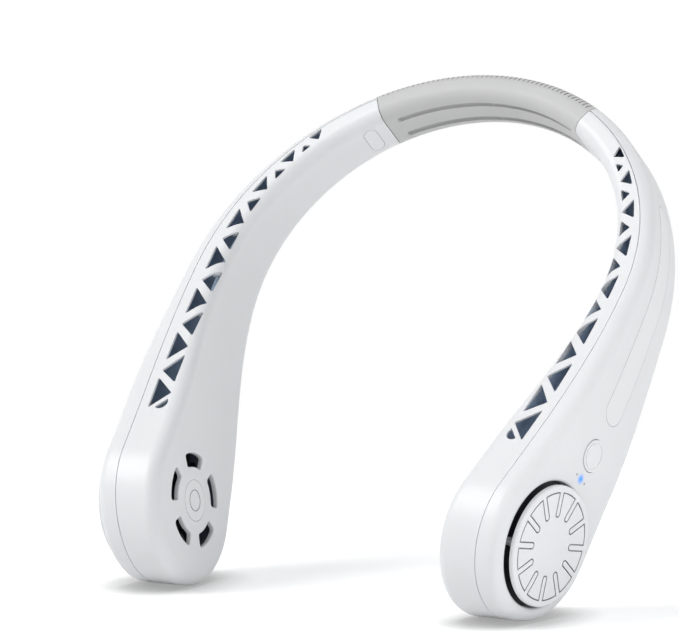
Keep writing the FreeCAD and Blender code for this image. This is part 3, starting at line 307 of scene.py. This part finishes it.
def add_hollow(tree, reach, deep, shallow, own_walls=False):
    """Mask that is one deep in a gap and zero on open faces, from every wall or the piece's own, which
    places painted shade.
    """
    sky = add_node(tree, "ShaderNodeAmbientOcclusion", only_local=own_walls, samples=HOLLOW_SAMPLES)
    depth = add_node(tree, "ShaderNodeMapRange", to_min=1.0, to_max=0.0)
    tree.links.new(sky.outputs["AO"], depth.inputs["Value"])
    feed(tree, reach, sky.inputs["Distance"])
    feed(tree, deep, depth.inputs["From Min"])
    feed(tree, shallow, depth.inputs["From Max"])
    return depth.outputs["Result"]


# Shader groups that several materials share

def shared_group(name, inputs, outputs, build):
    """Shader group of that name, built the first time it is asked for."""
    found = bpy.data.node_groups.get(name)
    if found:
        return found
    group = bpy.data.node_groups.new(name, "ShaderNodeTree")
    for label, kind, value in inputs:
        group.interface.new_socket(label, in_out="INPUT", socket_type=kind).default_value = value
    for label, kind in outputs:
        group.interface.new_socket(label, in_out="OUTPUT", socket_type=kind)
    build(group, group.nodes.new("NodeGroupInput"), group.nodes.new("NodeGroupOutput"))
    return group


SURFACE_OUTPUTS = (("Colour", "NodeSocketColor"), ("Roughness", "NodeSocketFloat"),
                   ("Height", "NodeSocketFloat"))
MASK_OUTPUT = (("Mask", "NodeSocketFloat"),)


def moulding_group():
    """Moulded plastic: a fine spark grain, slow flow marks and a drift between two colours."""
    inputs = (("Colour", "NodeSocketColor", WHITE), ("Shade", "NodeSocketColor", BLACK),
              ("Grain Scale", "NodeSocketFloat", 2600.0), ("Flow Scale", "NodeSocketFloat", 24.0),
              ("Smoothest", "NodeSocketFloat", 0.3), ("Roughest", "NodeSocketFloat", 0.42))
    return shared_group("moulded_plastic", inputs, SURFACE_OUTPUTS, build_moulding)


def build_moulding(group, entry, leave):
    link = group.links.new
    place = add_node(group, "ShaderNodeTexCoord")
    grain = add_node(group, "ShaderNodeTexNoise", detail=2.0, roughness=0.6)
    flow = add_node(group, "ShaderNodeTexNoise", detail=3.0, roughness=0.5, distortion=0.6)
    for noise, label in ((grain, "Grain Scale"), (flow, "Flow Scale")):
        link(place.outputs["Object"], noise.inputs["Vector"])
        link(entry.outputs[label], noise.inputs["Scale"])
    total = add_node(group, "ShaderNodeMath", operation="ADD")
    link(grain.outputs["Fac"], total.inputs[0])
    link(flow.outputs["Fac"], total.inputs[1])
    rough = add_node(group, "ShaderNodeMapRange", from_min=SMOOTH_SUM, from_max=ROUGH_SUM)
    link(total.outputs["Value"], rough.inputs["Value"])
    link(entry.outputs["Smoothest"], rough.inputs["To Min"])
    link(entry.outputs["Roughest"], rough.inputs["To Max"])
    drift = mixed(group, flow.outputs["Fac"], entry.outputs["Colour"], entry.outputs["Shade"])
    link(drift, leave.inputs["Colour"])
    link(rough.outputs["Result"], leave.inputs["Roughness"])
    link(grain.outputs["Fac"], leave.inputs["Height"])


def drawn_metal_group():
    """Drawn metal: streaks stretched along one axis that vary colour, roughness and height."""
    inputs = (("Colour", "NodeSocketColor", WHITE), ("Shade", "NodeSocketColor", BLACK),
              ("Scale", "NodeSocketFloat", 900.0))
    return shared_group("drawn_metal", inputs, SURFACE_OUTPUTS, build_drawn_metal)


def build_drawn_metal(group, entry, leave):
    link = group.links.new
    place = add_node(group, "ShaderNodeTexCoord")
    stretch = add_node(group, "ShaderNodeMapping", scale=(0.06, 1.0, 1.0))
    streaks = add_node(group, "ShaderNodeTexNoise", detail=4.0, roughness=0.65)
    link(place.outputs["Object"], stretch.inputs["Vector"])
    link(stretch.outputs["Vector"], streaks.inputs["Vector"])
    link(entry.outputs["Scale"], streaks.inputs["Scale"])
    rough = add_node(group, "ShaderNodeMapRange", to_min=0.22, to_max=0.48)
    link(streaks.outputs["Fac"], rough.inputs["Value"])
    drift = mixed(group, streaks.outputs["Fac"], entry.outputs["Colour"], entry.outputs["Shade"])
    link(drift, leave.inputs["Colour"])
    link(rough.outputs["Result"], leave.inputs["Roughness"])
    link(streaks.outputs["Fac"], leave.inputs["Height"])


def near_group():
    """Mask that falls from one to zero between two distances from a place."""
    inputs = (("Place", "NodeSocketVector", (0, 0, 0)), ("Near", "NodeSocketFloat", 0.0),
              ("Far", "NodeSocketFloat", 1.0))
    return shared_group("near_place", inputs, MASK_OUTPUT, build_near)


def build_near(group, entry, leave):
    mask = add_near(group, entry.outputs["Place"], entry.outputs["Near"], entry.outputs["Far"])
    group.links.new(mask, leave.inputs["Mask"])


def hollow_group():
    """Mask that is one deep in a gap and zero on open faces, which places painted shade and painted shadow.
    """
    inputs = (("Reach", "NodeSocketFloat", 0.001), ("Deep", "NodeSocketFloat", GAP_DEEP),
              ("Shallow", "NodeSocketFloat", GAP_SHALLOW))
    return shared_group("hollow", inputs, MASK_OUTPUT, build_hollow)


def build_hollow(group, entry, leave):
    mask = add_hollow(group, entry.outputs["Reach"], entry.outputs["Deep"], entry.outputs["Shallow"])
    group.links.new(mask, leave.inputs["Mask"])


# Materials

def new_material(name):
    """Material that holds its Principled shader and the output alone."""
    material = bpy.data.materials.new(name)
    material.use_nodes = True
    tree = material.node_tree
    tree.nodes.clear()
    shader = tree.nodes.new("ShaderNodeBsdfPrincipled")
    output = tree.nodes.new("ShaderNodeOutputMaterial")
    tree.links.new(shader.outputs["BSDF"], output.inputs["Surface"])
    return material


def shader_of(material):
    return material.node_tree.nodes["Principled BSDF"]


def link_surface(material, surface, bump_strength, bump_distance):
    """Links a surface group's colour, roughness and height to the material's shader."""
    tree, shader = material.node_tree, shader_of(material)
    bump = add_node(tree, "ShaderNodeBump", strength=bump_strength, distance=bump_distance)
    tree.links.new(surface.outputs["Colour"], shader.inputs["Base Color"])
    tree.links.new(surface.outputs["Roughness"], shader.inputs["Roughness"])
    tree.links.new(surface.outputs["Height"], bump.inputs["Height"])
    tree.links.new(bump.outputs["Normal"], shader.inputs["Normal"])


def moulded_material(name, main, shade, grain_scale, smoothest, roughest, bump_strength, bump_distance):
    """Plastic or silicone from the moulded group, with its own grain and gloss."""
    material = new_material(name)
    surface = add_group(material.node_tree, moulding_group(), colour=(*main, 1), shade=(*shade, 1),
                        grain_scale=grain_scale, smoothest=smoothest, roughest=roughest)
    link_surface(material, surface, bump_strength, bump_distance)
    return material


def metal_material(name, main, shade, scale):
    """Bare metal with drawn streaks."""
    material = new_material(name)
    shader_of(material).inputs["Metallic"].default_value = 1.0
    surface = add_group(material.node_tree, drawn_metal_group(), colour=(*main, 1), shade=(*shade, 1),
                        scale=scale)
    link_surface(material, surface, bump_strength=0.3, bump_distance=0.00002)
    return material


def tint_base(material, mask, tint):
    """Turns the material's base colour to another where the mask is one."""
    tree, socket = material.node_tree, shader_of(material).inputs["Base Color"]
    tree.links.new(mixed(tree, mask, socket.links[0].from_socket, (*tint, 1)), socket)


def lit_pin_end():
    """Middle of the light pins' outer ends, which is the end of the lit one."""
    spin = next(row for row in frame["joints"] if row["name"] == "right_spin")
    out = Vector(spin["axis"])
    guide = frame["nodes"]["light_guide"]
    places = [guide.matrix_world @ vertex.co for vertex in guide.data.vertices]
    level = max(place.dot(out) for place in places)
    ends = [place for place in places if level - place.dot(out) < PIN_END_DEPTH]
    return sum(ends, Vector()) / len(ends)


class NECKFAN_OT_shells(bpy.types.Operator):
    """Finish the arms' shells in satin white plastic, lit from inside round the middle light"""

    bl_idname = "neckfan.shells"
    bl_label = "Arm Shells"

    def execute(self, context):
        finish = settings()
        plain = self.shell_material(finish, "satin_white_shell")
        give(plain, *both_sides("inner_shell"), "left_outer_shell")
        lit = self.shell_material(finish, "lit_white_shell")
        self.add_halo(finish, lit)
        give(lit, "right_outer_shell")
        return {"FINISHED"}

    def shell_material(self, finish, name):
        material = moulded_material(name, finish.shell_white, finish.shell_shade, grain_scale=2600.0,
                                    smoothest=0.36, roughest=0.46, bump_strength=0.22, bump_distance=0.00002)
        shader_of(material).inputs["Specular IOR Level"].default_value = 0.45
        return material

    def add_halo(self, finish, material):
        """Light that shows through the plastic round the lit pin."""
        tree, shader = material.node_tree, shader_of(material)
        near = add_group(tree, near_group(), place=lit_pin_end(), near=0.0, far=finish.halo_radius)
        mask = near.outputs["Mask"]
        tint_base(material, mask, finish.light)
        tree.links.new(mixed(tree, mask, BLACK, (*finish.light, 1)), shader.inputs["Emission Color"])
        shader.inputs["Emission Strength"].default_value = finish.halo_strength


class NECKFAN_OT_trim(bpy.types.Operator):
    """Finish the intake discs, caps, covers, inlays and the button in smoother white plastic, with painted
    shade in the gaps and engraved lines of the discs, caps and inlays
    """

    bl_idname = "neckfan.trim"
    bl_label = "White Trim"

    def execute(self, context):
        finish = settings()
        plain = self.trim_material(finish, "smooth_white_trim")
        give(plain, *both_sides("screw_cover"), "power_button")
        # White trim with painted shade in its gaps and engraved lines
        gap_shaded_trim = self.trim_material(finish, "lined_white_trim")
        self.paint_gap_shade(finish, gap_shaded_trim)
        give(gap_shaded_trim, *both_sides("intake_disc", "hub_cap", "inlay"))
        return {"FINISHED"}

    def trim_material(self, finish, name):
        return moulded_material(name, finish.trim_white, finish.trim_shade, grain_scale=3200.0,
                                smoothest=0.28, roughest=0.36, bump_strength=0.2, bump_distance=0.00001)

    def paint_gap_shade(self, finish, material):
        """Painted shade: darker plastic down in the engraved lines and at the gaps round the pieces, where
        shade would fall.
        """
        gap = add_group(material.node_tree, hollow_group(), reach=finish.gap_shade_reach, deep=GAP_DEEP,
                        shallow=GAP_SHALLOW)
        tint_base(material, gap.outputs["Mask"], finish.gap_painted_shade)


class NECKFAN_OT_ducts(bpy.types.Operator):
    """Finish the air guides and end plugs in slate blue, which also stands in as painted shade for the
    shaded inside of the vents, and the fans in black
    """

    bl_idname = "neckfan.ducts"
    bl_label = "Ducts And Fans"

    def execute(self, context):
        finish = settings()
        # Slate blue that partly stands in, as painted shade, for the shade inside the vents
        duct = moulded_material("slate_duct", finish.duct, finish.duct_shade, grain_scale=1800.0,
                                smoothest=0.5, roughest=0.66, bump_strength=0.3, bump_distance=0.00003)
        give(duct, *both_sides("air_guide", "end_plug"))
        black = moulded_material("black_moulding", finish.black, finish.black_shade, grain_scale=1800.0,
                                 smoothest=0.42, roughest=0.6, bump_strength=0.3, bump_distance=0.00003)
        give(black, *both_sides("intake_ring", "impeller"), "button_switch")
        return {"FINISHED"}


class NECKFAN_OT_metals(bpy.types.Operator):
    """Finish the motors, shafts, screws, socket and cells in metal"""

    bl_idname = "neckfan.metals"
    bl_label = "Metal Pieces"

    def execute(self, context):
        finish = settings()
        steel = metal_material("drawn_steel", finish.steel, finish.steel_shade, scale=900.0)
        give(steel, *both_sides("motor", "shaft", "screw"), "charging_socket")
        foil = metal_material("cell_foil", finish.foil, finish.foil_shade, scale=300.0)
        give(foil, *both_sides("battery"))
        return {"FINISHED"}


class NECKFAN_OT_controls(bpy.types.Operator):
    """Finish the circuit board and the light pins, the middle one lit"""

    bl_idname = "neckfan.controls"
    bl_label = "Board And Lights"

    def execute(self, context):
        finish = settings()
        board = moulded_material("green_board", finish.board, finish.board_shade, grain_scale=700.0,
                                 smoothest=0.3, roughest=0.45, bump_strength=0.3, bump_distance=0.00003)
        give(board, "main_board")
        give(self.pin_material(finish), "light_guide")
        return {"FINISHED"}

    def pin_material(self, finish):
        """Clear pins, the middle one glowing."""
        material = new_material("light_pins")
        tree, shader = material.node_tree, shader_of(material)
        near = add_group(tree, near_group(), place=lit_pin_end(), near=finish.pin_reach,
                         far=finish.halo_radius)
        mask = near.outputs["Mask"]
        tint = mixed(tree, mask, (*finish.clear_pin, 1), (*finish.light, 1))
        tree.links.new(tint, shader.inputs["Base Color"])
        tree.links.new(mixed(tree, mask, BLACK, tint), shader.inputs["Emission Color"])
        shader.inputs["Emission Strength"].default_value = finish.pin_strength
        shader.inputs["Roughness"].default_value = 0.2
        return material


def up_along(axis):
    """Direction from the arch's centre to its apex: square to the joint's axis, in the middle plane."""
    up = Vector((0, axis.z, -axis.y))
    return up if up.z > 0 else -up


def arch(side):
    """Centre, radius and axis of the strip's arch, through its apex and the joint of that side."""
    joint = next(row for row in frame["joints"] if row["name"] == side + "_flex")
    axis = Vector(joint["axis"]).normalized()
    pivot = Vector(joint["pos_m"])
    apex = up_along(axis) * bpy.context.scene.neck_fan_band.strip_rise
    drop = (apex - pivot).dot(up_along(axis))
    radius = (pivot.x ** 2 + drop ** 2) / (2 * drop)
    return apex - up_along(axis) * radius, radius, axis


def ray(axis, angle):
    """Direction from the arch's centre at this angle from the apex, to the side that the axis turns from."""
    aside = up_along(axis).cross(axis)
    return up_along(axis) * math.cos(angle) + aside * math.sin(angle)


class NECKFAN_OT_soft_band(bpy.types.Operator):
    """Make the band's sleeve, strip and lead as left and right halves, cut across at even angles"""

    bl_idname = "neckfan.soft_band"
    bl_label = "Soft Band"

    def execute(self, context):
        finish = settings()
        silicone = self.silicone_material(finish)
        strip = metal_material("spring_strip", finish.steel, finish.strip_shade, scale=900.0)
        sheath = moulded_material("lead_sheath", finish.black, finish.black_shade, grain_scale=1500.0,
                                  smoothest=0.5, roughest=0.6, bump_strength=0.3, bump_distance=0.00003)
        finishes = dict(zip(BAND_NODES, (silicone, strip, sheath)))
        for node in BAND_NODES:
            # Both halves come first, because a replaced piece is hidden and a copy of it can't be cut
            halves = [self.half_of(node, side) for side in SIDES]
            for side, half in zip(SIDES, halves):
                half.data.materials.clear()
                half.data.materials.append(finishes[node])
                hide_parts(node)
                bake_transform(half)
        return {"FINISHED"}

    def silicone_material(self, finish):
        material = moulded_material("soft_silicone", finish.silicone, finish.silicone_shade,
                                    grain_scale=1500.0, smoothest=0.5, roughest=0.62,
                                    bump_strength=0.35, bump_distance=0.00003)
        shader = shader_of(material)
        shader.inputs["Sheen Weight"].default_value = 0.15
        shader.inputs["Sheen Roughness"].default_value = 0.4
        # Painted shade in the grooves of the neck side
        self.paint_groove_shade(finish, material)
        return material

    def paint_groove_shade(self, finish, material):
        """Painted shade: darker silicone down in the long grooves of the neck side, where shade would fall.
        """
        tree = material.node_tree
        depth = add_hollow(tree, finish.groove_shade_reach, GROOVE_DEEP, GROOVE_SHALLOW, own_walls=True)
        facing = add_node(tree, "ShaderNodeTexCoord")
        toward = add_node(tree, "ShaderNodeVectorMath", operation="DOT_PRODUCT")
        toward.inputs[1].default_value = frame["record"]["mounts"][0]["axis"]
        neck_side = add_node(tree, "ShaderNodeMapRange", from_min=NECK_TURN_START, from_max=NECK_TURN_END)
        tree.links.new(facing.outputs["Normal"], toward.inputs[0])
        tree.links.new(toward.outputs["Value"], neck_side.inputs["Value"])
        tint_base(material, product(tree, depth, neck_side.outputs["Result"]), finish.groove_painted_shade)

    def bend_ends(self, side):
        """Places on the arch between which a half turns from the band's motion to the arm's."""
        band = bpy.context.scene.neck_fan_band
        centre, radius, axis = arch(side)
        return [centre + ray(axis, angle) * radius for angle in (band.bend_start_angle, band.bend_end_angle)]

    def half_of(self, node, side):
        """Copy of one side of a band piece, welded and cut across so that it bends evenly."""
        band = bpy.context.scene.neck_fan_band
        select_only(frame["nodes"][node])
        bpy.ops.object.duplicate()
        half = bpy.context.view_layer.objects.active
        half.name = side + "_" + node
        half.parent = None
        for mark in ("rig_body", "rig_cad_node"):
            del half[mark]
        outward = -1 if side == "left" else 1
        bpy.ops.object.mode_set(mode="EDIT")
        bpy.ops.mesh.select_all(action="SELECT")
        bpy.ops.mesh.remove_doubles(threshold=band.weld)
        bpy.ops.mesh.bisect(plane_co=(0, 0, 0), plane_no=(outward, 0, 0), clear_inner=True)
        centre, _, axis = arch(side)
        angle = band.cut_angle
        while angle < band.bend_end_angle + band.cut_angle:
            bpy.ops.mesh.select_all(action="SELECT")
            bpy.ops.mesh.bisect(plane_co=centre, plane_no=ray(axis, angle).cross(axis))
            angle += band.cut_angle
        bpy.ops.object.mode_set(mode="OBJECT")
        bpy.ops.mesh.customdata_custom_splitnormals_clear()
        bpy.ops.object.shade_smooth_by_angle(angle=band.smooth_angle)
        return half


def add_seen(tree):
    """Mask that is one for what the camera sees, straight, in a reflection or through glass."""
    path = tree.nodes.new("ShaderNodeLightPath")
    seen = path.outputs["Is Camera Ray"]
    for label in ("Is Glossy Ray", "Is Transmission Ray"):
        total = add_node(tree, "ShaderNodeMath", operation="ADD", use_clamp=True)
        tree.links.new(seen, total.inputs[0])
        tree.links.new(path.outputs[label], total.inputs[1])
        seen = total.outputs["Value"]
    return seen


class NECKFAN_OT_stage(bpy.types.Operator):
    """Add the pale floor with a painted shadow under the fan, the even light, the soft lamps and the camera
    """

    bl_idname = "neckfan.stage"
    bl_label = "Stage"

    def execute(self, context):
        stage = context.scene.neck_fan_stage
        self.add_floor(stage)
        self.add_sky(stage)
        self.add_camera(stage)
        for name in LAMPS:
            self.add_lamp(stage, name)
        context.scene.view_settings.view_transform = "Standard"
        return {"FINISHED"}

    def add_floor(self, stage):
        bpy.ops.mesh.primitive_plane_add(size=stage.floor_size, location=(0, 0, CAD_BOX[0][2]))
        floor = bpy.context.object
        floor.name = "floor"
        material = new_material("floor_white")
        shader = shader_of(material)
        shader.inputs["Roughness"].default_value = 0.7
        shader.inputs["Specular IOR Level"].default_value = 0.2
        seen = add_seen(material.node_tree)
        self.paint_contact_shadow(stage, material, seen)
        self.fade_to_white(stage, material, seen)
        floor.data.materials.append(material)

    def paint_contact_shadow(self, stage, material, seen):
        """Floor that is seen pale, with a painted shadow in grey close under the fan."""
        tree, shader = material.node_tree, shader_of(material)
        under = add_group(tree, hollow_group(), reach=stage.contact_shadow_reach, deep=CONTACT_DEEP,
                          shallow=CONTACT_SHALLOW)
        # Painted shadow: the floor's colour turns grey where the fan is near
        shaded = product(tree, seen, under.outputs["Mask"])
        grey = mixed(tree, shaded, (*stage.floor_white, 1), (*stage.contact_painted_shadow, 1))
        tree.links.new(grey, shader.inputs["Base Color"])
        tree.links.new(product(tree, seen, stage.floor_glow), shader.inputs["Emission Strength"])
        shader.inputs["Emission Color"].default_value = WHITE

    def fade_to_white(self, stage, material, seen):
        """Plain white away from the fan, so that only its shadow shows on the floor."""
        tree, shader = material.node_tree, shader_of(material)
        centre = Vector(stage.middle) * Vector((1, 1, 0))
        away = add_node(tree, "ShaderNodeMath", operation="SUBTRACT")
        away.inputs[0].default_value = 1.0
        tree.links.new(add_near(tree, centre, stage.fade_start, stage.fade_end), away.inputs[1])
        white = add_node(tree, "ShaderNodeEmission", strength=1.0)
        white.inputs["Color"].default_value = WHITE
        mix = tree.nodes.new("ShaderNodeMixShader")
        output = tree.nodes["Material Output"]
        tree.links.new(product(tree, away.outputs["Value"], seen), mix.inputs["Fac"])
        tree.links.new(shader.outputs["BSDF"], mix.inputs[1])
        tree.links.new(white.outputs["Emission"], mix.inputs[2])
        tree.links.new(mix.outputs["Shader"], output.inputs["Surface"])

    def add_sky(self, stage):
        """Even light all round, which the camera and reflections see as white."""
        world = bpy.data.worlds.new("studio")
        bpy.context.scene.world = world
        world.use_nodes = True
        tree = world.node_tree
        tree.nodes.clear()
        soft = add_node(tree, "ShaderNodeBackground", strength=stage.sky_strength)
        soft.inputs["Color"].default_value = (*stage.sky_colour, 1)
        white = add_node(tree, "ShaderNodeBackground", strength=1.0)
        white.inputs["Color"].default_value = WHITE
        mix = tree.nodes.new("ShaderNodeMixShader")
        output = tree.nodes.new("ShaderNodeOutputWorld")
        tree.links.new(add_seen(tree), mix.inputs["Fac"])
        tree.links.new(soft.outputs["Background"], mix.inputs[1])
        tree.links.new(white.outputs["Background"], mix.inputs[2])
        tree.links.new(mix.outputs["Shader"], output.inputs["Surface"])

    def add_lamp(self, stage, name):
        """Square lamp that points at the middle of the fan."""
        lamp = bpy.data.lights.new(name + "_lamp", "AREA")
        lamp.size = getattr(stage, name + "_size")
        lamp.energy = getattr(stage, name + "_power")
        holder = bpy.data.objects.new(name + "_lamp", lamp)
        holder.location = getattr(stage, name + "_place")
        holder.rotation_euler = (Vector(stage.middle) - holder.location).to_track_quat("-Z", "Y").to_euler()
        bpy.context.scene.collection.objects.link(holder)

    def add_camera(self, stage):
        turn, rise = stage.camera_azimuth, stage.camera_elevation
        back = Vector((math.sin(turn) * math.cos(rise), -math.cos(turn) * math.cos(rise), math.sin(rise)))
        right = Vector((math.cos(turn), math.sin(turn), 0))
        up = back.cross(right)
        middle = Vector(stage.middle)
        place = middle + back * stage.camera_distance
        aim = middle - right * stage.middle_right - up * stage.middle_up
        data = bpy.data.cameras.new("photo_camera")
        data.sensor_width = SENSOR_WIDTH
        data.lens = stage.camera_lens
        data.clip_end = CAMERA_REACH
        camera = bpy.data.objects.new("photo_camera", data)
        camera.location = place
        camera.rotation_euler = (aim - place).to_track_quat("-Z", "Y").to_euler()
        bpy.context.scene.collection.objects.link(camera)
        bpy.context.scene.camera = camera


STEPS = (NECKFAN_OT_shells, NECKFAN_OT_trim, NECKFAN_OT_ducts, NECKFAN_OT_metals, NECKFAN_OT_controls,
         NECKFAN_OT_soft_band, NECKFAN_OT_stage)


class NECKFAN_PT_panel(bpy.types.Panel):
    """Steps that dress the fan, in order"""

    bl_idname = "NECKFAN_PT_panel"
    bl_label = "Neck Fan"
    bl_space_type = "VIEW_3D"
    bl_region_type = "UI"
    bl_category = "Neck Fan"

    def draw(self, context):
        for step in STEPS:
            self.layout.operator(step.bl_idname)


CLASSES = (FinishSettings, BandSettings, StageSettings, *STEPS, NECKFAN_PT_panel)


def register():
    for item in CLASSES:
        bpy.utils.register_class(item)
    bpy.types.Scene.neck_fan_finish = PointerProperty(type=FinishSettings)
    bpy.types.Scene.neck_fan_band = PointerProperty(type=BandSettings)
    bpy.types.Scene.neck_fan_stage = PointerProperty(type=StageSettings)


def unregister():
    del bpy.types.Scene.neck_fan_stage
    del bpy.types.Scene.neck_fan_band
    del bpy.types.Scene.neck_fan_finish
    for item in reversed(CLASSES):
        bpy.utils.unregister_class(item)


def main():
    register()
    bpy.ops.neckfan.shells()
    bpy.ops.neckfan.trim()
    bpy.ops.neckfan.ducts()
    bpy.ops.neckfan.metals()
    bpy.ops.neckfan.controls()
    bpy.ops.neckfan.soft_band()
    bpy.ops.neckfan.stage()
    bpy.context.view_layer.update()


if __name__ == "__main__":
    main()
